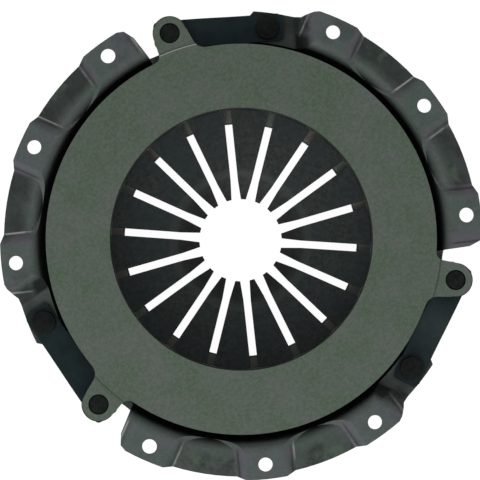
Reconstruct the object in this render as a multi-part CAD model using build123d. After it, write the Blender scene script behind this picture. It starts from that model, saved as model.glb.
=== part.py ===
from build123d import *
import os
from math import atan, atan2, cos, hypot, radians, sin, sqrt, tan

# Diaphragm-spring clutch cover assembly in its free state, in millimetres.
# The origin is on the axis, in the plane in which the bolt pads seat on the flywheel.
# +Z points from the gearbox side towards the flywheel, so the friction face looks up.
# The cover repeats three times. The first third is centred on the +Y axis.

# Layout round the axis
repeats = 3
repeat_angle = 360 / repeats
gap_angle = 90.0                  # the middle of the first drive strap window
bolt_pitch_angle = 30.0
finger_count = 18
first_slot_angle = 10.0
third_start = 45.0                # the cover's first third begins this much before the gap

# Cover flange and its pads
bolt_circle_reach = 14.3          # from the wall, at the bolt pads' level, to the bolt circle
pad_edge_reach = 9.0              # from the bolt circle to the pads' outer edge
bolt_hole_diameter = 8.8
dowel_hole_diameter = 9.1
cover_thickness = 4.5
recess_depth = 3.0                # how far the flange lies back between bolt pads
recess_setback = 2.25             # how far its outer edge lies in from the pads' edge
pad_half_width = 12.7
pad_ramp_width = 5.5
pad_edge_radius = 5.0
pad_shoulder_radius = 7.0
recess_shoulder_radius = 8.5

# Cover wall and back
plate_to_wall_clearance = 4.7     # round the pressure plate, at the bolt pads' level
wall_draft = 3.3                  # how much the wall closes in towards the back
wall_foot_radius = 6.0
cover_opening_diameter = 146.6
opening_edge_radius = 1.8
window_sill_height = 9.2          # what is left of the wall under each strap window
window_corner_radius = 5.0

# Pressure plate
friction_diameter = 242.0
friction_bore_diameter = 161.2
friction_face_depth = 3.0         # below the bolt pads, with the cover unbolted
plate_thickness = 15.0
plate_rim_thickness = 11.0        # at the outer edge
plate_rim_taper = 8.0
face_chamfer = 0.8
plate_travel = 5.5                # from the free state to fully released
ridge_inset = 16.0                # from the friction face's outer edge to the ridge's middle
ridge_nose_width = 4.4
ridge_root_width = 11.0
ridge_nose_radius = 1.7
ridge_root_radius = 2.0
plate_edge_radius = 1.0
ridge_gap_count = 9
ridge_gap_width = 9.0

# Lugs of the pressure plate
lug_face_step = 0.8               # the lug face lies this much below the friction face
lug_step_reach = 3.2              # machined face beyond the ring's edge
lug_rivet_reach = 14.05           # from the ring's edge to the rivet
lug_rivet_angle = 13.1            # from the middle of the window
lug_eye_radius = 10.6
lug_flare_angle = 10.0
lug_thickness = 9.0
lug_free_fillet = 5.0
lug_strap_fillet = 8.0

# Drive straps and their rivets
strap_leaf_count = 3
strap_leaf_thickness = 0.9
strap_leaf_gap = 0.05
strap_width = 17.0
strap_end_reach = 10.0            # beyond each rivet
strap_corner_radius = 3.5
strap_drop = 6.0                  # cover end lies this much behind the lug end
strap_flat_reach = 12.5           # flat under each rivet before the bend
strap_bend_radius = 25.0
cover_rivet_reach = 7.6           # from the wall, at the bolt pads' level
cover_rivet_angle = 13.2          # from the middle of the window
cover_rivet_head_diameter = 14.8
cover_rivet_head_height = 3.2
rivet_shank_diameter = 8.0
rivet_tail_diameter = 13.4
cover_rivet_tail_diameter = 10.4
rivet_tail_height = 2.8
rivet_edge_radius = 1.2
rivet_play = 0.05
leaf_hole_play = 0.1
lug_rivet_head_diameter = 12.0
lug_rivet_head_height = 3.0
lug_rivet_recess = 0.8            # head top below the lug face
lug_counterbore_play = 0.3

# Strap pads of the cover
strap_pad_reach = 9.7             # from the rivet to the pad's outer edge
strap_pad_end = 11.5              # from the rivet to the pad's free end
strap_pad_end_chamfer = 4.0
strap_ramp_start = 16.7           # from the rivet to the foot of the steep ramp
strap_ramp_run = 8.5
ramp_foot_radius = 3.5
ramp_top_radius = 7.0
ramp_run_out = 0.6                # rise of the cut past the ramp, so that it ends clear of the pad

strap_edge_turn = 21.0            # from the rivet to where the outer edge turns out
strap_edge_corner = 31.4          # from the rivet to the corner of the next bolt pad

# Free end of the flange, by the lug
free_end_angle = 22.1             # from the middle of the window to the edge's corner
free_corner_setback = 8.0         # of that corner from the flange's outer edge
free_edge_lean = 10.0             # off the radial line
free_chamfer_lean = 30.0          # off the radial line, past the corner

# Diaphragm spring
diaphragm_thickness = 2.6
cone_angle = 12.0
spring_lever = 20.0               # from the fulcrum to the ridge
spring_rim_reach = 4.0            # of the spring's edge beyond the ridge
bend_radius_place = 43.8
finger_bend_angle = 25.0
tip_flat_place = 30.0
tip_flat_angle = 17.0
finger_tip_radius = 26.4
finger_tip_width = 3.3
finger_bend_round = 6.0
slot_width = 4.6
slot_flare_radius = 38.0
window_inner_reach = 2.0          # of the rivet windows, in from the fulcrum
window_outer_reach = 11.5         # and out from it
window_width = 11.0
window_round = 2.5
rim_split = 0.3                   # hairline between neighbouring sectors of the rim

# Fulcrum wire rings and pivot rivets
wire_diameter = 4.0
pivot_gap = 0.3
seat_gap = 0.05
ridge_gap = 0.45
pivot_rivet_count = 9
pivot_shank_diameter = 7.0
pivot_shank_gap = 0.2
pivot_head_diameter = 13.0
pivot_head_height = 3.0
pivot_tail_diameter = 12.0
pivot_tail_height = 2.6
pivot_head_clearance = 1.5        # to the released pressure plate

# Places that follow from the sizes
friction_radius = friction_diameter / 2
friction_z = -friction_face_depth
ridge_radius = friction_radius - ridge_inset
fulcrum_radius = ridge_radius - spring_lever
diaphragm_outer_radius = ridge_radius + spring_rim_reach
window_inner_radius = fulcrum_radius - window_inner_reach
window_outer_radius = fulcrum_radius + window_outer_reach
plate_back_z = friction_z - plate_thickness
lug_face_z = friction_z - lug_face_step
lug_back_z = lug_face_z - lug_thickness
pivot_head_z = plate_back_z - plate_travel - pivot_head_clearance
upper_wire_z = pivot_head_z - pivot_head_height - seat_gap - wire_diameter / 2
fulcrum_z = upper_wire_z - wire_diameter / 2 - pivot_gap - diaphragm_thickness / 2
lower_wire_z = fulcrum_z - diaphragm_thickness / 2 - pivot_gap - wire_diameter / 2
back_inner_z = lower_wire_z - wire_diameter / 2 - seat_gap
back_outer_z = back_inner_z - cover_thickness
wall_top_radius = friction_radius + plate_to_wall_clearance
bolt_circle_radius = wall_top_radius + bolt_circle_reach
flange_radius = bolt_circle_radius + pad_edge_reach
lug_rivet_radius = friction_radius + lug_rivet_reach
cover_rivet_radius = wall_top_radius + cover_rivet_reach
strap_pad_radius = cover_rivet_radius + strap_pad_reach
leaf_pitch = strap_leaf_thickness + strap_leaf_gap
strap_stack = strap_leaf_count * leaf_pitch
strap_low_z = lug_back_z - strap_drop
strap_pad_z = strap_low_z - strap_stack
pivot_rivet_radius = (
    fulcrum_radius + wire_diameter / 2 + pivot_shank_gap + pivot_shank_diameter / 2
)
below_cover_z = back_outer_z - cover_thickness
far = 2 * flange_radius           # well outside the part, for cutting shapes
pad_reach = 1.2 * flange_radius   # past the pads' edge, where the plan trims them
tolerance = 0.01                  # for finding an edge or a corner by its place


def polar(radius, angle):
    return (radius * cos(radians(angle)), radius * sin(radians(angle)))


# Bolt holes of the first third, the dowel hole beside the free end first
bolt_angles = [
    gap_angle + bolt_pitch_angle,
    gap_angle + repeat_angle / 2,
    gap_angle - bolt_pitch_angle,
]

# Both strap rivets of the first third, and the straps' own directions
lug_rivet_place = polar(lug_rivet_radius, gap_angle + lug_rivet_angle)
cover_rivet_place = polar(cover_rivet_radius, gap_angle - cover_rivet_angle)
strap_run_x = lug_rivet_place[0] - cover_rivet_place[0]
strap_run_y = lug_rivet_place[1] - cover_rivet_place[1]
strap_length = hypot(strap_run_x, strap_run_y)
strap_direction = (strap_run_x / strap_length, strap_run_y / strap_length, 0)
out_of_line = (
    strap_direction[1] * cover_rivet_place[0] - strap_direction[0] * cover_rivet_place[1]
)                                 # from the axis to the line of the strap


def turned(shape):
    """The shape of the first third, at all three places round the axis."""
    return [Rot(0, 0, repeat_angle * i) * shape for i in range(repeats)]


def section_face(points, radii):
    """A closed outline in the plane of the axis, from (radius, height) points."""
    return Plane.XZ * make_face(FilletPolyline(*points, radius=radii, close=True))


def turned_solid(points, radii):
    return revolve(section_face(points, radii), Axis.Z)


def headed_rivet(place, head_radius, head_z, seat_z, shank_radius, tail_seat_z,
                 tail_radius, tail_z):
    """Head, shank and tail as one turned piece, with rounded outer edges."""
    points = [
        (0, head_z), (head_radius, head_z), (head_radius, seat_z),
        (shank_radius, seat_z), (shank_radius, tail_seat_z),
        (tail_radius, tail_seat_z), (tail_radius, tail_z), (0, tail_z),
    ]
    radii = [0, rivet_edge_radius, 0, 0, 0, 0, rivet_edge_radius, 0]
    return Pos(place[0], place[1], 0) * turned_solid(points, radii)


def wall_radius(z):
    """Inner face of the cover's wall at a height."""
    return wall_top_radius + wall_draft * z / -back_inner_z


def sheet_region(flange_z, shoulder, setback, reach):
    """Everything under one face of the pressed cover, as a turned solid.

    setback is 0 for the face that looks at the friction disc, and the sheet's
    thickness for the face behind it.
    """
    lean = atan(wall_draft / -back_inner_z)
    shift = setback / cos(lean)
    top = flange_z - setback
    bottom = back_inner_z - setback
    points = [
        (cover_opening_diameter / 4, bottom),
        (wall_radius(bottom) + shift, bottom),
        (wall_radius(top) + shift, top),
        (reach, top),
        (reach, below_cover_z),
        (cover_opening_diameter / 4, below_cover_z),
    ]
    radii = [0, wall_foot_radius + setback, shoulder - setback, 0, 0, 0]
    start = Rot(0, 0, gap_angle - third_start)
    return revolve(start * section_face(points, radii), Axis.Z, repeat_angle)


def pad_wedge(angle, left, right, setback):
    """A raised bolt pad as a ridge that runs out along the angle.

    left and right say whether the pad slopes down on that side, seen from the axis.
    The slopes go on below the recess, which gives the pad its bell shape on the wall.
    """
    root = recess_depth + recess_shoulder_radius + cover_thickness
    run = root * pad_ramp_width / recess_depth
    left_top = pad_half_width if left else 2 * pad_half_width
    right_top = pad_half_width if right else 2 * pad_half_width
    left_foot = left_top + run if left else left_top
    right_foot = right_top + run if right else right_top
    edge = pad_edge_radius - min(setback, pad_edge_radius)
    outline = FilletPolyline(
        (-right_foot, -root - setback), (-right_top, -setback),
        (left_top, -setback), (left_foot, -root - setback),
        radius=[0, edge if right else 0, edge if left else 0, 0], close=True,
    )
    start = cover_opening_diameter / 2
    plane = Plane(
        origin=(*polar(start, angle), 0),
        x_dir=(*polar(1, angle + 90), 0),
        z_dir=(*polar(1, angle), 0),
    )
    return extrude(plane * make_face(outline), far - start)


def strap_point(along, out):
    """A point in plan, from the cover's strap rivet: away from the lug, and outwards."""
    return (
        cover_rivet_place[0] - along * strap_direction[0] + out * strap_direction[1],
        cover_rivet_place[1] - along * strap_direction[1] - out * strap_direction[0],
    )


def edge_height(along, radius):
    """How far out from the line of the strap a circle round the axis lies."""
    near_x, near_y = strap_point(along, 0)
    foot = hypot(near_x, near_y) ** 2 - out_of_line ** 2
    return sqrt(radius ** 2 - foot) - out_of_line


def strap_step(setback):
    """What lies above the strap pad and its steep ramp, to be cut from a region."""
    turn = atan2(-strap_pad_z, strap_ramp_run)
    foot_place = strap_ramp_start + setback * tan(turn / 2)
    top_place = foot_place + strap_ramp_run
    top_round = ramp_top_radius - setback
    end = top_place + 2 * strap_ramp_run
    outline = FilletPolyline(
        (-strap_length - strap_pad_end, strap_pad_z - setback),
        (foot_place, strap_pad_z - setback),
        (top_place, -setback),
        (end, -setback + ramp_run_out),
        (end, cover_thickness),
        (-strap_length - strap_pad_end, cover_thickness),
        radius=[0, ramp_foot_radius + setback, top_round, 0, 0, 0], close=True,
    )
    away = (-strap_direction[0], -strap_direction[1], 0)
    inward = (-strap_direction[1], strap_direction[0], 0)
    plane = Plane(origin=(*cover_rivet_place, 0), x_dir=away, z_dir=inward)
    outside = flange_radius / 2
    depth = cover_rivet_radius - cover_opening_diameter / 2
    return extrude(plane.offset(-outside) * make_face(outline), outside + depth)


def cover_region(setback):
    """Everything under one face of the cover, with its pads and strap steps."""
    region = sheet_region(-recess_depth, recess_shoulder_radius, setback, far)
    raised = sheet_region(0, pad_shoulder_radius, setback, pad_reach)
    slopes = [(True, False), (True, True), (False, True)]
    for angle, (left, right) in zip(bolt_angles, slopes):
        region = region + (pad_wedge(angle, left, right, setback) & raised)
    return region - strap_step(setback)


def cover_plan():
    """Plan of one third of the cover: full size at the pads, set back elsewhere."""
    outer = flange_radius
    inner = outer - recess_setback
    root = cover_opening_diameter / 2
    foot = pad_half_width + pad_ramp_width
    top_x = sqrt(outer ** 2 - pad_half_width ** 2)
    foot_x = sqrt(inner ** 2 - foot ** 2)
    plan = Circle(inner)
    ear = make_face(
        Polyline(
            (top_x, pad_half_width), (foot_x, foot), (root, foot),
            (root, -foot), (foot_x, -foot), (top_x, -pad_half_width),
        ) + ThreePointArc((top_x, -pad_half_width), (outer, 0), (top_x, pad_half_width))
    )
    for angle in bolt_angles:
        plan = plan + Rot(0, 0, angle) * ear
    strap_side = make_face(Polyline(
        strap_point(-2 * strap_pad_end, -strap_width),
        strap_point(strap_edge_turn, -strap_width),
        strap_point(strap_edge_turn, edge_height(strap_edge_turn, strap_pad_radius)),
        strap_point(strap_edge_corner, edge_height(strap_edge_corner, outer)),
        strap_point(strap_edge_corner, 2 * strap_width),
        strap_point(-2 * strap_pad_end, 2 * strap_width),
        close=True,
    )) - Circle(strap_pad_radius)
    return plan - strap_side - Circle(root)


def window_cut():
    """The window in the wall and flange that the lug and the straps work in."""
    corner_radius = flange_radius - free_corner_setback
    corner_angle = gap_angle + free_end_angle
    corner = Vector(*polar(corner_radius, corner_angle))
    inward = Vector(*polar(1, corner_angle + 180 + free_edge_lean))
    outward = Vector(*polar(1, corner_angle + free_chamfer_lean))
    chamfer_start = edge_height(-strap_pad_end, strap_pad_radius) - strap_pad_end_chamfer
    reach = flange_radius / 2
    inside = strap_width + cover_thickness + wall_foot_radius
    plan = make_face(Polyline(
        strap_point(-strap_pad_end, -inside),
        strap_point(-strap_pad_end, chamfer_start),
        strap_point(-strap_pad_end + strap_width, chamfer_start + strap_width),
        strap_point(-strap_pad_end + strap_width, reach),
        tuple(corner + outward * reach),
        tuple(corner),
        tuple(corner + inward * (inside + strap_width)),
        close=True,
    ))
    sill_z = back_outer_z + window_sill_height
    block = extrude(Pos(0, 0, sill_z) * plan, cover_thickness - sill_z)
    sides = [strap_point(-strap_pad_end, -strap_width), tuple(corner + inward * strap_width)[:2]]
    edges = []
    for x, y in sides:
        low = block.edges().filter_by_position(Axis.Z, sill_z - tolerance, sill_z + tolerance)
        edges.append(low.sort_by_distance(Vertex(x, y, sill_z))[0])
    return fillet(edges, window_corner_radius)


def opening_edge():
    """The ring of metal that rounding takes off the central opening's upper edge."""
    inner = cover_opening_diameter / 2
    corner = (inner - opening_edge_radius, back_inner_z + opening_edge_radius)
    start = (inner, back_inner_z - opening_edge_radius)
    end = (inner + opening_edge_radius, back_inner_z)
    turn = opening_edge_radius * sin(radians(45))
    middle = (end[0] - turn, start[1] + turn)
    clear = Polyline(end, (end[0], corner[1]), corner, (corner[0], start[1]), start)
    outline = make_face(ThreePointArc(start, middle, end) + clear)
    return revolve(Plane.XZ * outline, Axis.Z)


def drill(place, radius, top, bottom):
    """A round cutter about the vertical line at place."""
    return Pos(place[0], place[1], bottom) * Cylinder(
        radius, top - bottom, align=(Align.CENTER, Align.CENTER, Align.MIN)
    )


def cover():
    """The pressed steel cover: flange with nine pads, wall, windows and back."""
    sheet = cover_region(0) - cover_region(cover_thickness)
    outline = extrude(Pos(0, 0, below_cover_z) * cover_plan(), cover_thickness - below_cover_z)
    third = (sheet & outline) - window_cut()
    third = third.solids().sort_by(SortBy.VOLUME)[-1]
    for angle in bolt_angles:
        located = angle == bolt_angles[0]
        diameter = dowel_hole_diameter if located else bolt_hole_diameter
        place = polar(bolt_circle_radius, angle)
        third = third - drill(place, diameter / 2, cover_thickness, below_cover_z)
    strap_hole = rivet_shank_diameter / 2 + rivet_play
    third = third - drill(cover_rivet_place, strap_hole, 0, below_cover_z)
    body = third
    for other in turned(third)[1:]:
        body = body + other
    body = body - opening_edge()
    for place in pivot_rivet_places():
        pivot_hole = pivot_shank_diameter / 2 + rivet_play
        body = body - drill(place, pivot_hole, 0, below_cover_z)
    return body


def pivot_rivet_places():
    pitch = 360 / pivot_rivet_count
    return [polar(pivot_rivet_radius, first_slot_angle + pitch * i) for i in range(pivot_rivet_count)]


def pressure_plate():
    """The cast friction ring, with its fulcrum ridge and three lugs."""
    inner = friction_bore_diameter / 2
    cone = radians(cone_angle)
    skin = diaphragm_thickness / 2 / cos(cone)
    ridge_z = fulcrum_z + spring_lever * tan(cone) + skin + ridge_gap
    nose = ridge_nose_width / 2
    root = ridge_root_width / 2
    rim_z = friction_z - plate_rim_thickness
    points = [
        (inner, friction_z - face_chamfer),
        (inner + face_chamfer, friction_z),
        (friction_radius - face_chamfer, friction_z),
        (friction_radius, friction_z - face_chamfer),
        (friction_radius, rim_z),
        (friction_radius - plate_rim_taper, plate_back_z),
        (ridge_radius + root, plate_back_z),
        (ridge_radius + nose, ridge_z),
        (ridge_radius - nose, ridge_z),
        (ridge_radius - root, plate_back_z),
        (inner, plate_back_z),
    ]
    radii = [
        0, 0, 0, 0, plate_edge_radius, ridge_root_radius, ridge_root_radius,
        ridge_nose_radius, ridge_nose_radius, ridge_root_radius, plate_edge_radius,
    ]
    ring = turned_solid(points, radii)
    ridge_room = plate_back_z - fulcrum_z
    ridge_cut = Pos(ridge_radius, 0, plate_back_z - ridge_room / 2) * Box(
        2 * ridge_root_width, ridge_gap_width, ridge_room
    )
    for i in range(ridge_gap_count):
        ring = ring - Rot(0, 0, gap_angle + 360 / ridge_gap_count * i) * ridge_cut
    for lug in turned(plate_lug()):
        ring = ring + lug
    for place in turned(Pos(*lug_rivet_place, 0)):
        ring = ring - place * drill((0, 0), lug_rivet_head_diameter / 2 + lug_counterbore_play,
                                    0, lug_face_z - lug_rivet_recess - lug_rivet_head_height)
        ring = ring - place * drill((0, 0), rivet_shank_diameter / 2 + rivet_play,
                                    0, lug_back_z - cover_thickness)
    return ring


def plate_lug():
    """One lug: an eye round the rivet that flares into the ring."""
    deep = lug_rivet_reach + lug_eye_radius
    flare = deep * tan(radians(lug_flare_angle))
    eye = Circle(lug_eye_radius) + make_face(Polyline(
        (0, lug_eye_radius),
        (-deep, lug_eye_radius),
        (-deep, -lug_eye_radius - flare),
        (0, -lug_eye_radius),
        close=True,
    ))
    place = Rot(0, 0, gap_angle + lug_rivet_angle) * Pos(lug_rivet_radius, 0)
    plan = Circle(friction_radius - seat_gap) + place * eye
    joints = plan.vertices().filter_by(
        lambda v: abs(hypot(v.X, v.Y) - friction_radius + seat_gap) < tolerance
        and hypot(v.X - lug_rivet_place[0], v.Y - lug_rivet_place[1]) < 2 * deep
    ).sort_by(Axis.X)
    plan = fillet(joints[0], lug_free_fillet)
    joints = plan.vertices().filter_by(
        lambda v: abs(hypot(v.X, v.Y) - friction_radius + seat_gap) < tolerance
        and v.X > lug_rivet_place[0]
        and hypot(v.X - lug_rivet_place[0], v.Y - lug_rivet_place[1]) < 2 * deep
    ).sort_by(Axis.X)
    plan = fillet(joints[-1], lug_strap_fillet)
    plan = plan - Circle(friction_radius - plate_rim_taper)
    step = plan & Circle(friction_radius + lug_step_reach)
    lug = extrude(Pos(0, 0, lug_back_z) * plan, lug_thickness)
    return lug + extrude(Pos(0, 0, lug_back_z) * step, lug_thickness + lug_face_step)


def diaphragm_sector():
    """One finger with its share of the coned rim, centred on the +X axis."""
    cone = radians(cone_angle)
    rim_z = fulcrum_z + (diaphragm_outer_radius - fulcrum_radius) * tan(cone)
    bend_z = fulcrum_z - (fulcrum_radius - bend_radius_place) * tan(cone)
    flat_z = bend_z - (bend_radius_place - tip_flat_place) * tan(radians(finger_bend_angle))
    tip_z = flat_z - (tip_flat_place - finger_tip_radius) * tan(radians(tip_flat_angle))
    middle = FilletPolyline(
        (diaphragm_outer_radius, rim_z),
        (bend_radius_place, bend_z),
        (tip_flat_place, flat_z),
        (finger_tip_radius, tip_z),
        radius=finger_bend_round,
    )
    band = trace(middle, diaphragm_thickness)
    half = 180 / finger_count
    disc = revolve(Rot(0, 0, -half) * (Plane.XZ * band), Axis.Z, 2 * half)
    cut = slot_plan()
    deep = back_outer_z - diaphragm_outer_radius / 2
    tall = -deep
    for side in (-half, half):
        disc = disc - extrude(Pos(0, 0, deep) * (Rot(0, 0, side) * cut), tall)
    return disc


def slot_plan():
    """Slot between two fingers along +X: tip flare, slot, rivet window and hairline."""
    half_slot = slot_width / 2
    pitch = 360 / finger_count
    half_gap = finger_tip_radius * sin(radians(pitch / 2)) - (
        finger_tip_width / 2 * cos(radians(pitch / 2))
    )
    flare = (half_gap - half_slot) / (slot_flare_radius - finger_tip_radius)
    inside = finger_tip_radius / 2
    half_inside = half_slot + flare * (slot_flare_radius - inside)
    slot = make_face(Polyline(
        (inside, -half_inside), (slot_flare_radius, -half_slot),
        (window_inner_radius + window_round, -half_slot),
        (window_inner_radius + window_round, half_slot),
        (slot_flare_radius, half_slot), (inside, half_inside),
        close=True,
    ))
    window_length = window_outer_radius - window_inner_radius
    window_middle = (window_outer_radius + window_inner_radius) / 2
    window = Pos(window_middle, 0) * RectangleRounded(window_length, window_width, window_round)
    split_length = diaphragm_outer_radius - window_outer_radius + 2 * window_round
    split = Pos(window_outer_radius - window_round + split_length / 2, 0) * Rectangle(
        split_length, rim_split
    )
    return slot + window + split


def fulcrum_ring(z):
    return Pos(0, 0, z) * Torus(fulcrum_radius, wire_diameter / 2)


def pivot_rivets():
    """Shouldered rivets through the windows, headed over the plate-side wire."""
    return [
        headed_rivet(
            place, pivot_head_diameter / 2, pivot_head_z, pivot_head_z - pivot_head_height,
            pivot_shank_diameter / 2, back_outer_z,
            pivot_tail_diameter / 2, back_outer_z - pivot_tail_height,
        )
        for place in pivot_rivet_places()
    ]


def strap_leaf(number):
    """One spring-steel leaf, bent down from the lug end to the cover end.

    Leaf 0 lies against the lug. The bend straightens as the pressure plate retracts.
    """
    low = strap_low_z - number * leaf_pitch
    high = lug_back_z - number * leaf_pitch
    ends = (-strap_end_reach, strap_length + strap_end_reach)
    bends = (strap_flat_reach, strap_length - strap_flat_reach)
    side = make_face(FilletPolyline(
        (ends[0], low), (bends[0], low), (bends[1], high), (ends[1], high),
        (ends[1], high - strap_leaf_thickness), (bends[1], high - strap_leaf_thickness),
        (bends[0], low - strap_leaf_thickness), (ends[0], low - strap_leaf_thickness),
        radius=[0, strap_bend_radius, strap_bend_radius, 0,
                0, strap_bend_radius, strap_bend_radius, 0],
        close=True,
    ))
    across = (strap_direction[1], -strap_direction[0], 0)
    frame = Plane(origin=(*cover_rivet_place, 0), x_dir=strap_direction, z_dir=across)
    leaf = extrude(frame * side, strap_width / 2, both=True)
    flat = Plane(origin=(*cover_rivet_place, below_cover_z), x_dir=strap_direction, z_dir=(0, 0, 1))
    plan = Pos(strap_length / 2, 0) * RectangleRounded(
        strap_length + 2 * strap_end_reach, strap_width, strap_corner_radius
    )
    leaf = leaf & extrude(flat * plan, -below_cover_z)
    hole = rivet_shank_diameter / 2 + leaf_hole_play
    for place in (cover_rivet_place, lug_rivet_place):
        leaf = leaf - drill(place, hole, 0, below_cover_z)
    return leaf


def lug_rivet():
    top = lug_face_z - lug_rivet_recess
    tail_seat = lug_back_z - strap_stack
    return headed_rivet(
        lug_rivet_place, lug_rivet_head_diameter / 2, top, top - lug_rivet_head_height,
        rivet_shank_diameter / 2, tail_seat,
        rivet_tail_diameter / 2, tail_seat - rivet_tail_height,
    )


def cover_rivet():
    tail_seat = strap_pad_z - cover_thickness
    return headed_rivet(
        cover_rivet_place, cover_rivet_head_diameter / 2, strap_low_z + cover_rivet_head_height,
        strap_low_z, rivet_shank_diameter / 2, tail_seat,
        cover_rivet_tail_diameter / 2, tail_seat - rivet_tail_height,
    )


def save(shape, node):
    if isinstance(shape, list):
        shape = Compound(children=shape) if len(shape) > 1 else shape[0]
    export_step(shape, f"parts/{node}.step")


os.makedirs("parts", exist_ok=True)
save(cover(), "cover")
save(pressure_plate(), "pressure_plate")
sector = diaphragm_sector()
for finger in range(finger_count):
    save(Rot(0, 0, 360 / finger_count * finger) * sector, f"diaphragm_finger_{finger + 1:02d}")
save(fulcrum_ring(upper_wire_z), "plate_side_fulcrum_ring")
save(fulcrum_ring(lower_wire_z), "cover_side_fulcrum_ring")
save(pivot_rivets(), "pivot_rivets")
for number in range(strap_leaf_count):
    for window, leaf in enumerate(turned(strap_leaf(number))):
        save(leaf, f"drive_strap_{window + 1}_leaf_{number + 1}")
for window, piece in enumerate(turned(lug_rivet())):
    save(piece, f"lug_rivet_{window + 1}")
for window, piece in enumerate(turned(cover_rivet())):
    save(piece, f"strap_rivet_{window + 1}")
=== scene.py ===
from math import atan2, cos, pi, radians, sin

import bpy
from mathutils import Matrix, Vector


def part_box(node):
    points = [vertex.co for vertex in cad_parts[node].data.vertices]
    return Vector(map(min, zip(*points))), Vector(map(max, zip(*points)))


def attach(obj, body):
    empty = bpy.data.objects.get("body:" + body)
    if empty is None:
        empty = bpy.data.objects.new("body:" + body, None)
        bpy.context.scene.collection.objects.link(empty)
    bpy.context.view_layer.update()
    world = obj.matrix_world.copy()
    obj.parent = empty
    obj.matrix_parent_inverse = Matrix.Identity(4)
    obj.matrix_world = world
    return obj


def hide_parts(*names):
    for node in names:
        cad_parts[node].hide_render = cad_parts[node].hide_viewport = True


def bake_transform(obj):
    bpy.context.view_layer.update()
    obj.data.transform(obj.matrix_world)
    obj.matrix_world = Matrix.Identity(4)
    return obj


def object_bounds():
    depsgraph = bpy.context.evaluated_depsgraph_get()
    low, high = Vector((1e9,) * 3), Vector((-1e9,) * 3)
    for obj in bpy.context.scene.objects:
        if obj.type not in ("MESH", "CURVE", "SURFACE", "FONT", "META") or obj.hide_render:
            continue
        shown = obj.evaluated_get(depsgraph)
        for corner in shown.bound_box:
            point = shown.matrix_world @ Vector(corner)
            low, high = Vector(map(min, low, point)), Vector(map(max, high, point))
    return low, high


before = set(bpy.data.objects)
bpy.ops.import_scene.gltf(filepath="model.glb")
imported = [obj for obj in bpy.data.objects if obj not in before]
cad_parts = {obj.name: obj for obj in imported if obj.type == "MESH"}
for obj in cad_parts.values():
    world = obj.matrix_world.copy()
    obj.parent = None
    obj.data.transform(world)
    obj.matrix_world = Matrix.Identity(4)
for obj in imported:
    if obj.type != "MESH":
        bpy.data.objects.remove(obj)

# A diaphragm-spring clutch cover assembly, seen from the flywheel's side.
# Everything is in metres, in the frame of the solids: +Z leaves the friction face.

solid_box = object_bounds()
mm = 0.001

# The photograph: its size, its scale at the bolt pads, and where the axis lies in it.
# The camera's sensor is in millimetres.
photo_size = 480
pixel = 0.6173 * mm
axis_across = 241.47
axis_down = 238.97
photo_roll = radians(6.1)
camera_distance = 1.8
camera_lean_right = -0.011
camera_lean_up = -0.016
camera_sensor = 36

# The floor, the even surround and the one lamp
floor_half = 3.0
floor_glow = 0.97
floor_shade = (0.10, 0.10, 0.10, 1)
floor_white = (0.9, 0.9, 0.9, 1)
pure_white = (1, 1, 1, 1)
surround_strength = 0.62
lamp_place = (-0.35, -0.95, 0.95)
lamp_width = 1.2
lamp_depth = 0.8
lamp_power = 11

# The drive straps, as in the solids
strap_places = 3
strap_leaves = 3
leaf_thickness = 0.9 * mm
leaf_pitch = 0.95 * mm
strap_width = 17 * mm
strap_end_reach = 10 * mm
strap_corner = 3.5 * mm
strap_flat = 12.5 * mm

# The rivets. Their sizes, in millimetres, are the head's radius and height, the shank's radius,
# and the tail's radius and height. The nine on the fulcrum circle are one node of the solids.
strap_rivet_size = (7.4, 3.2, 4.0, 5.2, 2.8)
lug_rivet_size = (6.0, 3.0, 4.0, 6.7, 2.8)
pivot_rivet_size = (6.5, 3.0, 3.5, 6.0, 2.6)
rivet_edge = 0.6 * mm
pivot_count = 9
pivot_circle = 90.7 * mm
pivot_first = radians(10)

# How finely the straps and rivets are divided, welded and shaded
leaf_points_along = 65
leaf_points_across = 17
rivet_points_down = 18
rivet_points_round = 49
weld_distance = 0.01 * mm
smooth_below = radians(35)

# Places on the cover, the plate and the spring that their finishes follow
pad_pitch = radians(30)
pad_half = 12.7 * mm
pad_foot = 18.2 * mm
recess_depth = 3 * mm
recess_inner = 131 * mm
opening_radius = 73.3 * mm
cover_inside_back = -36 * mm
lug_step = 124.2 * mm
lug_eye = 10.6 * mm
friction_bore = 80 * mm
turning_pitch = 0.5 * mm
bend_ring = 43 * mm

# Colours of the cover
phosphate_green = (0.060, 0.086, 0.071)
phosphate_grey = (0.080, 0.090, 0.086)
phosphate_patch = (0.100, 0.112, 0.108)
phosphate_speck = (0.034, 0.046, 0.038)
# Painted shade for the recesses between the pads
recess_painted_shade = (0.024, 0.031, 0.028)
recess_stain = (0.019, 0.021, 0.020)
recess_green = (0.062, 0.092, 0.066)
slope_violet = (0.094, 0.082, 0.104)
# A blue cast, partly a painted highlight
pad_blue_and_highlight = (0.070, 0.088, 0.106)
smudge_grey = (0.032, 0.038, 0.038)
# Painted highlight and painted shade along the pads' feet
foot_painted_highlight = (0.30, 0.32, 0.30)
foot_painted_shade = (0.014, 0.015, 0.015)
# Painted shade on the drawn wall
wall_painted_shade = (0.010, 0.012, 0.011)
# Painted light on the ring round the opening, in grey and rusty tones
ring_light_grey = (0.115, 0.145, 0.125)
ring_light_rusty = (0.150, 0.140, 0.118)

# Colours of the pressure plate
ground_green = (0.060, 0.088, 0.060)
ground_grey = (0.080, 0.094, 0.084)
ground_light = (0.112, 0.138, 0.108)
cast_dark = (0.022, 0.025, 0.022)
cast_light = (0.045, 0.048, 0.043)
# Painted shade in the bore and on the sides of the ground face
bore_painted_shade = (0.006, 0.008, 0.007)
rim_painted_shade = (0.010, 0.012, 0.010)
# Painted highlight and painted shade on the lugs' step
step_painted_highlight = (0.30, 0.31, 0.28)
step_painted_shade = (0.030, 0.034, 0.029)
# Painted shade round the end of each lug
lug_edge_painted_shade = (0.006, 0.007, 0.006)

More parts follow.
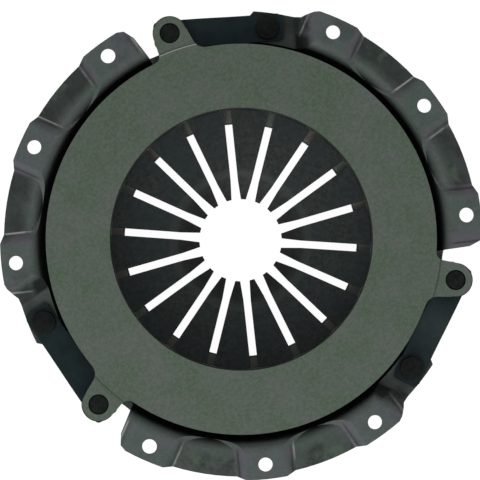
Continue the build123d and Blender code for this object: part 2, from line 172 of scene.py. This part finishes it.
# Colours of the spring, the straps, the rivets and the wires
spring_dark = (0.0105, 0.0140, 0.0125)
spring_light = (0.0245, 0.0315, 0.0300)
spring_cloud = (0.015, 0.023, 0.026)
# Partly a rub mark, partly a painted highlight at the bend
spring_rub_and_highlight = (0.036, 0.043, 0.040)
spring_tip = (0.009, 0.010, 0.009)
# Painted shade on the fingers' cut sides
spring_side_painted_shade = (0.003, 0.003, 0.003)
strap_dark = (0.0045, 0.0120, 0.0150)
strap_light = (0.0085, 0.0190, 0.0200)
rivet_dark = (0.0040, 0.0055, 0.0048)
rivet_light = (0.0095, 0.0115, 0.0100)
wire_dark = (0.10, 0.10, 0.10)
wire_light = (0.16, 0.16, 0.155)


def middle(node):
    """The centre of a node's box."""
    low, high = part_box(node)
    return (Vector(low) + Vector(high)) / 2


class Finish:
    """A material in the making, with short names for the nodes it needs."""

    def __init__(self, name, roughness, metallic=0.0, specular=0.5):
        self.material = bpy.data.materials.new(name)
        self.material.use_nodes = True
        self.tree = self.material.node_tree
        self.shader = self.tree.nodes["Principled BSDF"]
        self.shader.inputs["Roughness"].default_value = roughness
        self.shader.inputs["Metallic"].default_value = metallic
        self.shader.inputs["Specular IOR Level"].default_value = specular
        self.place = self.tree.nodes.new("ShaderNodeTexCoord").outputs["Object"]

    def node(self, kind, inputs=None, **settings):
        made = self.tree.nodes.new("ShaderNode" + kind)
        for key, value in settings.items():
            setattr(made, key, value)
        for key, value in (inputs or {}).items():
            if isinstance(value, bpy.types.NodeSocket):
                self.tree.links.new(value, made.inputs[key])
            else:
                made.inputs[key].default_value = value
        return made

    def set(self, socket, value):
        self.tree.links.new(value, self.shader.inputs[socket])

    def maths(self, operation, first, second=0.0):
        return self.node("Math", {0: first, 1: second}, operation=operation).outputs[0]

    def vector(self, operation, first, second=(0, 0, 0)):
        return self.node("VectorMath", {0: first, 1: second}, operation=operation).outputs

    def times(self, first, *others):
        """The product of masks and shares."""
        for other in others:
            first = self.maths("MULTIPLY", first, other)
        return first

    def spread(self, value, low, high, to_low=0.0, to_high=1.0):
        made = self.node("MapRange", {
            "Value": value, "From Min": low, "From Max": high, "To Min": to_low, "To Max": to_high,
        })
        return made.outputs["Result"]

    def band(self, value, low, high, soft):
        """One between low and high, fading to nothing over soft on both sides."""
        rise = self.spread(value, low - soft, low)
        fall = self.spread(value, high, high + soft, 1, 0)
        return self.times(rise, fall)

    def noise(self, per_metre, detail=3.0, rough=0.55, shift=0.0):
        """A cloudy pattern. A shift moves it on, so that it differs from another of its scale."""
        place = self.vector("ADD", self.place, (shift, shift, shift))[0] if shift else self.place
        made = self.node("TexNoise", {
            "Vector": place, "Scale": per_metre, "Detail": detail, "Roughness": rough,
        })
        return made.outputs["Fac"]

    def blend(self, factor, first, second):
        made = self.node("Mix", {"Factor": factor}, data_type="RGBA")
        for slot, colour in ((6, first), (7, second)):
            if isinstance(colour, bpy.types.NodeSocket):
                self.tree.links.new(colour, made.inputs[slot])
            else:
                made.inputs[slot].default_value = (*colour, 1)
        return made.outputs[2]

    def tint(self, colour, over, *shares):
        """Lays another colour over this one, as far as the product of the shares says."""
        return self.blend(self.times(*shares), colour, over)

    def roughness(self, per_metre, detail, smooth, rough):
        """Lets the gloss vary between two values over the surface."""
        self.set("Roughness", self.spread(self.noise(per_metre, detail), 0.3, 0.7, smooth, rough))

    def bump(self, height, depth, strength=1.0, under=None):
        inputs = {"Height": height, "Distance": depth, "Strength": strength}
        if under is not None:
            inputs["Normal"] = under
        return self.node("Bump", inputs).outputs["Normal"]

    def along(self, axis):
        return self.node("SeparateXYZ", {"Vector": self.place}).outputs[axis]

    def height(self):
        return self.along("Z")

    def flat(self):
        """The place with its height left out."""
        return self.vector("MULTIPLY", self.place, (1, 1, 0))[0]

    def radius(self):
        """Distance from the clutch's axis."""
        return self.vector("LENGTH", self.flat())["Value"]

    def normal(self):
        return self.node("NewGeometry").outputs["True Normal"]

    def forward(self):
        """How squarely a face looks towards the flywheel, from -1 to 1."""
        return self.node("SeparateXYZ", {"Vector": self.normal()}).outputs["Z"]

    def upright(self):
        """How squarely a face looks along the clutch's axis, either way, from 0 to 1."""
        return self.maths("ABSOLUTE", self.forward())

    def outward(self):
        """Above nothing where a face looks away from the clutch's axis, below where it looks in."""
        return self.vector("DOT_PRODUCT", self.normal(), self.flat())["Value"]


def from_pad(made):
    """Distance from the nearest bolt pad's own middle line, and where the flange lies."""
    parts = made.node("SeparateXYZ", {"Vector": made.place}).outputs
    angle = made.maths("ARCTAN2", parts["Y"], parts["X"])
    turn = {0: angle, 1: pad_pitch / 2, 2: -pad_pitch / 2}
    local = made.node("Math", turn, operation="WRAP").outputs[0]
    across = made.times(made.radius(), made.maths("SINE", local))
    flange = made.spread(made.radius(), recess_inner - 3 * mm, recess_inner + 2 * mm)
    return made.maths("ABSOLUTE", across), flange


def cover_finish():
    """Phosphated pressed steel, with painted highlight and painted shade along each bolt pad's
    foot.
    """
    made = Finish("phosphated_pressing", 0.5, specular=0.16)
    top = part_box("cover")[1][2]

    # The coating, cloudy and finely speckled
    clouds = made.spread(made.noise(24, 4), 0.35, 0.65)
    patches = made.spread(made.noise(110, 5, 0.65), 0.38, 0.66)
    specks = made.spread(made.noise(520, 4, 0.7), 0.42, 0.60)
    colour = made.blend(clouds, phosphate_green, phosphate_grey)
    colour = made.tint(colour, phosphate_patch, patches, 0.45)
    colour = made.tint(colour, phosphate_speck, specks, 0.30)

    # The recesses between the pads, with painted shade that is strongest towards the top, and with
    # stains and green patches
    sunk = made.spread(made.height(), top - recess_depth, top - 0.2 * recess_depth, 1, 0)
    recess = made.times(sunk, made.spread(made.radius(), recess_inner, recess_inner + 6 * mm))
    top_shade = made.spread(made.along("Y"), -0.13, 0.11, 0.38, 0.92)
    stains = made.spread(made.noise(75, 6, 0.7), 0.47, 0.60)
    greens = made.spread(made.noise(60, 5, 0.7, shift=0.3), 0.54, 0.68)
    colour = made.tint(colour, recess_painted_shade, recess, top_shade)
    colour = made.tint(colour, recess_stain, stains, recess, 0.7)
    colour = made.tint(colour, recess_green, greens, recess, 0.85)

    # The pads and their slopes, with a violet cast, a blue cast on the shoulders that is partly a
    # painted highlight, and grey smudges
    across, flange = from_pad(made)
    slope = made.band(across, pad_half, pad_foot, 1.5 * mm)
    violets = made.spread(made.noise(45, 2), 0.42, 0.62)
    shoulder = made.band(across, 5 * mm, pad_half, 4 * mm)
    raised = made.spread(recess, 0, 0.3, 1, 0)
    blue_and_highlight = made.spread(clouds, 0.2, 0.9, 0.05, 0.28)
    smudges = made.spread(made.noise(58, 5, 0.65, shift=0.7), 0.53, 0.66)
    colour = made.tint(colour, slope_violet, slope, flange, violets, 0.8)
    colour = made.tint(colour, pad_blue_and_highlight, shoulder, raised, flange, blue_and_highlight)
    colour = made.tint(colour, smudge_grey, smudges, flange, 0.45)

    # At each pad's foot, a painted highlight on some flanks, and painted shade on the slope just
    # above it on the others
    flank = made.spread(made.noise(17, 1), 0.42, 0.60)
    broken = made.spread(made.noise(230, 3), 0.30, 0.48)
    foot = made.band(across, pad_foot - 0.1 * mm, pad_foot + 0.4 * mm, 0.5 * mm)
    above = made.band(across, pad_foot - 2.1 * mm, pad_foot - 1.3 * mm, 0.6 * mm)
    colour = made.tint(colour, foot_painted_highlight, foot, flange, flank, broken, 0.8)
    colour = made.tint(colour, foot_painted_shade, above, flange, made.spread(flank, 0, 1, 1, 0.3), 0.6)

    # Painted shade on the drawn wall, where it looks at the axis
    tilt = made.spread(made.upright(), 0.40, 0.99, 1, 0)
    inward = made.spread(made.outward(), -0.02, 0, 1, 0)
    wall = made.spread(made.radius(), recess_inner, recess_inner + 3 * mm, 1, 0)
    colour = made.tint(colour, wall_painted_shade, tilt, inward, wall, 0.85)

    # Painted light: the ring round the opening, on the inside of the back, lightened against the
    # shade it lies in, in a mottle of grey and rusty tones
    ring = made.band(made.radius(), opening_radius + 1.4 * mm, opening_radius + 12 * mm, 0.5 * mm)
    back = made.spread(made.height(), cover_inside_back - 3 * mm, cover_inside_back, 1, 0)
    rust = made.spread(made.noise(35, 3), 0.40, 0.60)
    ring_light = made.blend(rust, ring_light_grey, ring_light_rusty)
    colour = made.tint(colour, ring_light, ring, back, made.spread(made.forward(), 0.3, 0.6))

    made.set("Base Color", colour)
    made.roughness(160, 4, 0.42, 0.58)
    grain = made.bump(made.noise(1400, 3), 0.04 * mm, 0.5)
    made.set("Normal", made.bump(made.noise(190, 4), 0.14 * mm, 0.6, grain))
    return made.material


def plate_finish():
    """Ground grey iron on the friction face, rough casting elsewhere."""
    made = Finish("ground_and_cast_iron", 0.55, specular=0.14)
    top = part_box("pressure_plate")[1][2]
    ground_above, cast_below = top - 0.9 * mm, top - 1.6 * mm

    # The ground face and the casting under it, with painted shade in the bore and on the sides of
    # the ground face
    face = made.spread(made.height(), cast_below, ground_above)
    soft = made.spread(made.noise(42, 3, 0.5), 0.38, 0.64)
    fine = made.spread(made.noise(560, 5, 0.75), 0.40, 0.60)
    ground = made.blend(soft, ground_green, ground_grey)
    ground = made.tint(ground, ground_light, fine, 0.60)
    cast = made.blend(fine, cast_dark, cast_light)
    bore = made.spread(made.radius(), friction_bore + 1 * mm, friction_bore + 3 * mm, 1, 0)
    cast = made.tint(cast, bore_painted_shade, bore)
    colour = made.blend(face, cast, ground)
    rim = made.spread(made.upright(), 0.75, 0.97, 1, 0)
    colour = made.tint(colour, rim_painted_shade, rim, face, 0.9)

    # Painted highlight on the step at the lugs' foot on the upper lug, and painted shade on it on
    # the lower ones
    step = made.band(made.radius(), lug_step - 0.5 * mm, lug_step, 0.15 * mm)
    lit = made.spread(made.along("Y"), 0.02, 0.10, 0.0, 0.9)
    shaded = made.spread(made.along("Y"), 0.02, 0.10, 0.7, 0.0)
    colour = made.tint(colour, step_painted_highlight, step, lit)
    colour = made.tint(colour, step_painted_shade, step, shaded)

    # Painted shade: a dark outline round the end of each lug
    outer = made.spread(made.radius(), lug_step + 10 * mm, lug_step + 12 * mm)
    for lug in range(1, strap_places + 1):
        eye = middle(f"lug_rivet_{lug}")
        away = made.vector("DISTANCE", made.flat(), (eye.x, eye.y, 0))["Value"]
        edge = made.band(away, lug_eye - 0.35 * mm, lug_eye + 1 * mm, 0.3 * mm)
        colour = made.tint(colour, lug_edge_painted_shade, edge, outer, 0.9)

    made.set("Base Color", colour)
    made.roughness(500, 3, 0.5, 0.66)
    rings = made.maths("SINE", made.times(made.radius(), 2 * pi / turning_pitch))
    turned = made.bump(rings, 0.004 * mm, 0.5)
    coarse = made.spread(made.height(), cast_below, ground_above, 1.0, 0.25)
    made.set("Normal", made.bump(made.noise(700, 4), 0.10 * mm, coarse, turned))
    return made.material


def spring_finish():
    """Dark shot-peened spring steel, with a lighter ring at the bend that is partly a painted
    highlight, painted shade on the cut sides, and blacker towards the tips.
    """
    made = Finish("peened_spring_steel", 0.5, specular=0.16)
    mottle = made.spread(made.noise(330, 6, 0.8), 0.41, 0.59)
    colour = made.blend(mottle, spring_dark, spring_light)
    clouds = made.spread(made.noise(38, 3), 0.40, 0.62)
    colour = made.tint(colour, spring_cloud, clouds, 0.5)
    # A lighter ring at the fingers' bend, partly a rub mark and partly a painted highlight
    rub_and_highlight = made.band(made.radius(), bend_ring - 2 * mm, bend_ring + 1 * mm, 2 * mm)
    colour = made.tint(colour, spring_rub_and_highlight, rub_and_highlight, 0.5)
    tips = made.spread(made.radius(), bend_ring - 8 * mm, bend_ring - 2 * mm, 1, 0)
    patchy = made.spread(made.noise(240, 3), 0.35, 0.6, 0.5, 0.95)
    colour = made.tint(colour, spring_tip, tips, patchy)
    # Painted shade on the cut sides
    side = made.spread(made.upright(), 0.25, 0.6, 1, 0)
    made.set("Base Color", made.tint(colour, spring_side_painted_shade, side))
    made.roughness(300, 3, 0.42, 0.58)
    made.set("Normal", made.bump(made.noise(1300, 2), 0.05 * mm, 0.6))
    return made.material


def strap_finish():
    """Blued spring strip, nearly black with a teal cast."""
    made = Finish("blued_spring_strip", 0.45, specular=0.14)
    mottle = made.spread(made.noise(120, 4), 0.35, 0.65)
    made.set("Base Color", made.blend(mottle, strap_dark, strap_light))
    made.roughness(400, 3, 0.38, 0.52)
    made.set("Normal", made.bump(made.noise(1500, 2), 0.02 * mm, 0.5))
    return made.material


def rivet_finish():
    """Black oxide on the rivets, mottled and a little rough."""
    made = Finish("black_rivet", 0.6, specular=0.08)
    mottle = made.spread(made.noise(300, 4), 0.35, 0.65)
    made.set("Base Color", made.blend(mottle, rivet_dark, rivet_light))
    made.roughness(500, 3, 0.5, 0.68)
    made.set("Normal", made.bump(made.noise(900, 3), 0.06 * mm, 0.6))
    return made.material


def wire_finish():
    """Plain drawn wire of the two fulcrum rings."""
    made = Finish("drawn_wire", 0.35, metallic=0.8)
    mottle = made.spread(made.noise(200, 3), 0.35, 0.65)
    made.set("Base Color", made.blend(mottle, wire_dark, wire_light))
    made.roughness(700, 2, 0.3, 0.45)
    return made.material


def dress_solids():
    """Gives every solid that still shows the finish of its own kind."""
    spring, wire = spring_finish(), wire_finish()
    finishes = {
        "cover": cover_finish(),
        "pressure_plate": plate_finish(),
        "cover_side_fulcrum_ring": wire,
        "plate_side_fulcrum_ring": wire,
    }
    for node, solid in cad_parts.items():
        finish = spring if node.startswith("diaphragm_finger") else finishes.get(node)
        if finish is not None:
            solid.data.materials.clear()
            solid.data.materials.append(finish)


class Tree:
    """A Geometry Nodes tree in the making, with named sizes and the finish as its last step."""

    def __init__(self, name, sizes):
        self.group = bpy.data.node_groups.new(name, "GeometryNodeTree")
        face = self.group.interface
        face.new_socket("Geometry", in_out="INPUT", socket_type="NodeSocketGeometry")
        face.new_socket("Geometry", in_out="OUTPUT", socket_type="NodeSocketGeometry")
        for size in sizes:
            kind = "NodeSocketInt" if size == "Count" else "NodeSocketFloat"
            face.new_socket(size, in_out="INPUT", socket_type=kind)
        face.new_socket("Finish", in_out="INPUT", socket_type="NodeSocketMaterial")
        self.input = self.group.nodes.new("NodeGroupInput").outputs
        self.output = self.group.nodes.new("NodeGroupOutput")

    def node(self, kind, inputs=None, **settings):
        made = self.group.nodes.new(kind)
        for key, value in settings.items():
            setattr(made, key, value)
        for key, value in (inputs or {}).items():
            if isinstance(value, bpy.types.NodeSocket):
                self.group.links.new(value, made.inputs[key])
            else:
                made.inputs[key].default_value = value
        return made

    def maths(self, operation, first, second=0.0):
        return self.node("ShaderNodeMath", {0: first, 1: second}, operation=operation).outputs[0]

    def plus(self, first, *others):
        for other in others:
            first = self.maths("ADD", first, other)
        return first

    def minus(self, first, *others):
        for other in others:
            first = self.maths("SUBTRACT", first, other)
        return first

    def times(self, first, *others):
        for other in others:
            first = self.maths("MULTIPLY", first, other)
        return first

    def point(self, x=0.0, y=0.0, z=0.0):
        return self.node("ShaderNodeCombineXYZ", {"X": x, "Y": y, "Z": z}).outputs[0]

    def sheet(self, columns, rows):
        """A flat sheet of one by one, and the X and Y of its points, from -0.5 to 0.5."""
        grid = self.node("GeometryNodeMeshGrid", {
            "Size X": 1.0, "Size Y": 1.0, "Vertices X": columns, "Vertices Y": rows,
        }).outputs["Mesh"]
        place = self.node("GeometryNodeInputPosition").outputs[0]
        parts = self.node("ShaderNodeSeparateXYZ", {"Vector": place}).outputs
        return grid, parts["X"], parts["Y"]

    def welded(self, geometry):
        inputs = {"Geometry": geometry, "Distance": weld_distance}
        return self.node("GeometryNodeMergeByDistance", inputs).outputs[0]

    def finish(self, geometry):
        """Ends the tree with a real mesh, smooth but for its sharp edges, in its finish."""
        whole = self.node("GeometryNodeRealizeInstances", {"Geometry": geometry}).outputs[0]
        angle = self.node("GeometryNodeInputMeshEdgeAngle").outputs["Unsigned Angle"]
        blunt = self.node("FunctionNodeCompare", {0: angle, 1: smooth_below}, operation="LESS_THAN")
        whole = self.node("GeometryNodeSetShadeSmooth", {
            "Geometry": whole, "Shade Smooth": blunt.outputs[0],
        }, domain="EDGE").outputs[0]
        whole = self.node("GeometryNodeSetShadeSmooth", {"Geometry": whole}).outputs[0]
        dressed = {"Geometry": whole, "Material": self.input["Finish"]}
        last = self.node("GeometryNodeSetMaterial", dressed)
        self.group.links.new(last.outputs[0], self.output.inputs[0])


def grown(name, tree, values):
    """Runs a tree on an empty mesh and keeps its result as one plain mesh."""
    seed = bpy.data.objects.new(name, bpy.data.meshes.new(name + "_seed"))
    bpy.context.scene.collection.objects.link(seed)
    modifier = seed.modifiers.new("grow", "NODES")
    modifier.node_group = tree.group
    for socket in tree.group.interface.items_tree:
        if socket.in_out == "INPUT" and socket.name in values:
            modifier[socket.identifier] = values[socket.name]
    bpy.context.view_layer.update()
    evaluated = seed.evaluated_get(bpy.context.evaluated_depsgraph_get())
    mesh = bpy.data.meshes.new_from_object(evaluated)
    seed.modifiers.remove(modifier)
    seed.data = mesh
    mesh.name = name
    return seed


def strap_tree():
    """A pack of leaves: flat under both rivets, bent between them, with rounded corners.

    It lies along +X from the cover's rivet to the lug's, and is then turned into its place.
    """
    tree = Tree("strap_pack", [
        "Length", "Width", "End Reach", "Corner", "Flat", "Low", "High", "Thickness", "Pitch",
        "Place X", "Place Y", "Turn",
    ])
    size = tree.input
    grid, lengthwise, crosswise = tree.sheet(leaf_points_along, leaf_points_across)

    # The ends draw in towards the corners by a quarter circle
    across = tree.times(crosswise, size["Width"])
    straight = tree.minus(tree.times(size["Width"], 0.5), size["Corner"])
    over = tree.maths("MAXIMUM", tree.minus(tree.maths("ABSOLUTE", across), straight))
    squares = tree.minus(tree.times(size["Corner"], size["Corner"]), tree.times(over, over))
    inset = tree.minus(size["Corner"], tree.maths("SQRT", tree.maths("MAXIMUM", squares)))
    half = tree.times(size["Length"], 0.5)
    reach = tree.minus(tree.plus(half, size["End Reach"]), inset)
    along = tree.plus(half, tree.times(lengthwise, 2.0, reach))
    rise = tree.node("ShaderNodeMapRange", {
        "Value": along, "From Min": size["Flat"],
        "From Max": tree.minus(size["Length"], size["Flat"]),
        "To Min": size["Low"], "To Max": size["High"],
    }, interpolation_type="SMOOTHSTEP").outputs["Result"]
    top = tree.node("GeometryNodeSetPosition", {
        "Geometry": grid, "Position": tree.point(along, across, rise),
    }).outputs[0]

    # The top is closed with its sides and underside, and the leaf is stacked under itself
    body = tree.node("GeometryNodeExtrudeMesh", {
        "Mesh": top, "Offset": tree.point(z=tree.times(size["Thickness"], -1.0)),
        "Offset Scale": 1.0, "Individual": False,
    }).outputs["Mesh"]
    body = tree.node("GeometryNodeFlipFaces", {"Mesh": body}).outputs[0]
    leaf = tree.node("GeometryNodeJoinGeometry")
    tree.group.links.new(top, leaf.inputs[0])
    tree.group.links.new(body, leaf.inputs[0])
    stack = tree.node("GeometryNodeMeshLine", {
        "Count": strap_leaves, "Offset": tree.point(z=tree.times(size["Pitch"], -1.0)),
    }).outputs[0]
    pack = tree.node("GeometryNodeInstanceOnPoints", {
        "Points": stack, "Instance": tree.welded(leaf.outputs[0]),
    }).outputs[0]
    pack = tree.node("GeometryNodeTransform", {
        "Geometry": pack, "Translation": tree.point(size["Place X"], size["Place Y"]),
        "Rotation": tree.point(z=size["Turn"]),
    }).outputs[0]
    tree.finish(pack)
    return tree


def rivet_tree():
    """Rivets round a circle, each one profile turned about its own axis.

    The profile's points run from the middle of the head (0) over its rounded edge (1 to 6), down
    its side (7), in to the shank (8), down the shank (9), out to the tail's side (10), down it
    (11), round its edge (16) and in to the middle of its end (17).
    """
    tree = Tree("rivets_on_a_circle", [
        "Head Radius", "Head Height", "Shank Radius", "Tail Radius", "Tail Height", "Edge",
        "Top", "Bottom", "Circle Radius", "First Angle", "Count",
    ])
    size = tree.input
    grid, downwards, round_axis = tree.sheet(rivet_points_down, rivet_points_round)
    row = tree.times(tree.plus(downwards, 0.5), float(rivet_points_down - 1))
    turn = tree.times(round_axis, 2 * pi)

    def part(first, last, whole):
        """Grows from nothing to whole between two points of the profile."""
        return tree.node("ShaderNodeMapRange", {
            "Value": row, "From Min": first, "From Max": last, "To Min": 0.0, "To Max": whole,
        }).outputs["Result"]

    upper, lower = part(1, 6, pi / 2), part(11, 16, pi / 2)
    upper_fall = tree.times(size["Edge"], tree.minus(1.0, tree.maths("COSINE", upper)))
    lower_fall = tree.times(size["Edge"], tree.minus(1.0, tree.maths("COSINE", lower)))
    out = tree.plus(
        part(0, 1, tree.minus(size["Head Radius"], size["Edge"])),
        tree.times(size["Edge"], tree.maths("SINE", upper)),
        part(7, 8, tree.minus(size["Shank Radius"], size["Head Radius"])),
        part(9, 10, tree.minus(size["Tail Radius"], size["Shank Radius"])),
    )
    end_face = part(16, 17, tree.minus(size["Tail Radius"], size["Edge"]))
    out = tree.minus(out, lower_fall, end_face)
    shank = tree.minus(size["Top"], size["Bottom"], size["Head Height"], size["Tail Height"])
    height = tree.minus(
        size["Top"], upper_fall,
        part(6, 7, tree.minus(size["Head Height"], size["Edge"])),
        part(8, 9, shank),
        part(10, 11, tree.minus(size["Tail Height"], size["Edge"])),
        tree.times(size["Edge"], tree.maths("SINE", lower)),
    )
    across = tree.times(out, tree.maths("COSINE", turn))
    along = tree.times(out, tree.maths("SINE", turn))
    rivet = tree.node("GeometryNodeSetPosition", {
        "Geometry": grid, "Position": tree.point(across, along, height),
    }).outputs[0]
    circle = tree.node("GeometryNodeMeshCircle", {
        "Vertices": size["Count"], "Radius": size["Circle Radius"],
    }).outputs[0]
    places = tree.node("GeometryNodeTransform", {
        "Geometry": circle, "Rotation": tree.point(z=size["First Angle"]),
    }).outputs[0]
    rivets = tree.node("GeometryNodeInstanceOnPoints", {
        "Points": places, "Instance": tree.welded(rivet),
    }).outputs[0]
    tree.finish(rivets)
    return tree


def turned_rivets(finish):
    """The strap, lug and fulcrum rivets, each kind on its own circle."""
    tree = rivet_tree()
    measures = ("Head Radius", "Head Height", "Shank Radius", "Tail Radius", "Tail Height")
    places = range(1, strap_places + 1)
    kinds = (
        ("strap_rivets", "cover", [f"strap_rivet_{n}" for n in places], strap_rivet_size),
        ("lug_rivets", "pressure_plate", [f"lug_rivet_{n}" for n in places], lug_rivet_size),
        ("fulcrum_rivets", "cover", ["pivot_rivets"], pivot_rivet_size),
    )
    for name, body, nodes, rivet_size in kinds:
        low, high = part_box(nodes[0])
        if len(nodes) > 1:
            spot = middle(nodes[0])
            circle, first = Vector((spot.x, spot.y)).length, atan2(spot.y, spot.x)
            count = len(nodes)
        else:
            circle, first, count = pivot_circle, pivot_first, pivot_count
        values = {measure: value * mm for measure, value in zip(measures, rivet_size)}
        values |= {
            "Edge": rivet_edge, "Top": high[2], "Bottom": low[2], "Circle Radius": circle,
            "First Angle": first, "Count": count, "Finish": finish,
        }
        piece = grown(name, tree, values)
        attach(piece, body)
        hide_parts(*nodes)


def drive_straps(finish):
    """Three packs of leaves, each shaped with a bend between the cover and the pressure plate's
    lugs.
    """
    tree = strap_tree()
    for place in range(1, strap_places + 1):
        start = middle(f"strap_rivet_{place}")
        end = middle(f"lug_rivet_{place}")
        run = Vector((end.x - start.x, end.y - start.y, 0))
        leaves = [f"drive_strap_{place}_leaf_{leaf + 1}" for leaf in range(strap_leaves)]
        low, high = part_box(leaves[0])
        pack = grown(f"drive_strap_{place}", tree, {
            "Length": run.length, "Width": strap_width, "End Reach": strap_end_reach,
            "Corner": strap_corner, "Flat": strap_flat, "Low": low[2] + leaf_thickness,
            "High": high[2], "Thickness": leaf_thickness, "Pitch": leaf_pitch,
            "Place X": start.x, "Place Y": start.y, "Turn": atan2(run.y, run.x), "Finish": finish,
        })
        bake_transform(pack)
        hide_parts(*leaves)


def floor_finish():
    """White to the camera, with the clutch's shadow faintly kept."""
    made = Finish("white_floor", 0.9, specular=0.1)
    made.shader.inputs["Base Color"].default_value = floor_white
    path = made.node("LightPath").outputs
    seen = made.maths("MAXIMUM", path["Is Camera Ray"], path["Is Glossy Ray"])
    seen = made.maths("MAXIMUM", seen, path["Is Transmission Ray"])
    shade = made.node("BsdfDiffuse", {"Color": floor_shade})
    glow = made.node("Emission", {"Color": pure_white, "Strength": floor_glow})
    both = made.node("AddShader", {0: shade.outputs[0], 1: glow.outputs[0]})
    pick = made.node("MixShader", {0: seen, 1: made.shader.outputs[0], 2: both.outputs[0]})
    made.tree.links.new(pick.outputs[0], made.tree.nodes["Material Output"].inputs["Surface"])
    return made.material


def studio():
    """A pale floor under the clutch, one large soft lamp and an even surround."""
    ground = solid_box[0][2]
    sheet = bpy.data.meshes.new("floor")
    turns = ((-1, -1), (1, -1), (1, 1), (-1, 1))
    corners = [(floor_half * x, floor_half * y, ground) for x, y in turns]
    sheet.from_pydata(corners, [], [(0, 1, 2, 3)])
    floor = bpy.data.objects.new("floor", sheet)
    bpy.context.scene.collection.objects.link(floor)
    sheet.materials.append(floor_finish())

    world = bpy.data.worlds.new("studio")
    bpy.context.scene.world = world
    world.use_nodes = True
    tree = world.node_tree
    around = tree.nodes["Background"]
    around.inputs["Color"].default_value = pure_white
    around.inputs["Strength"].default_value = surround_strength
    backdrop = tree.nodes.new("ShaderNodeBackground")
    backdrop.inputs["Color"].default_value = pure_white
    path = tree.nodes.new("ShaderNodeLightPath").outputs
    mix = tree.nodes.new("ShaderNodeMixShader")
    tree.links.new(path["Is Camera Ray"], mix.inputs[0])
    tree.links.new(around.outputs[0], mix.inputs[1])
    tree.links.new(backdrop.outputs[0], mix.inputs[2])
    tree.links.new(mix.outputs[0], tree.nodes["World Output"].inputs["Surface"])

    lamp = bpy.data.lights.new("soft_box", "AREA")
    lamp.shape = "RECTANGLE"
    lamp.size = lamp_width
    lamp.size_y = lamp_depth
    lamp.energy = lamp_power
    box = bpy.data.objects.new("soft_box", lamp)
    box.location = lamp_place
    box.rotation_euler = (-box.location).to_track_quat("-Z", "Y").to_euler()
    bpy.context.scene.collection.objects.link(box)


def photo_camera():
    """Looks down on the friction face, turned and leaned as in the photograph."""
    right = Vector((cos(photo_roll), -sin(photo_roll), 0))
    up = Vector((sin(photo_roll), cos(photo_roll), 0))
    half = photo_size / 2
    target = right * (half - axis_across) * pixel + up * (axis_down - half) * pixel
    lean = right * camera_lean_right + up * camera_lean_up
    back = (lean + Vector((0, 0, 1))).normalized()
    top = (up - back * up.dot(back)).normalized()
    side = top.cross(back)
    lens = bpy.data.cameras.new("photo_camera")
    lens.sensor_width = camera_sensor
    lens.lens = camera_sensor * camera_distance / (photo_size * pixel)
    camera = bpy.data.objects.new("photo_camera", lens)
    turn = Matrix((side, top, back)).transposed().to_4x4()
    camera.matrix_world = Matrix.Translation(target + back * camera_distance) @ turn
    bpy.context.scene.collection.objects.link(camera)
    bpy.context.scene.camera = camera


photo_camera()
drive_straps(strap_finish())
turned_rivets(rivet_finish())
dress_solids()
studio()
bpy.context.scene.view_settings.view_transform = "Standard"
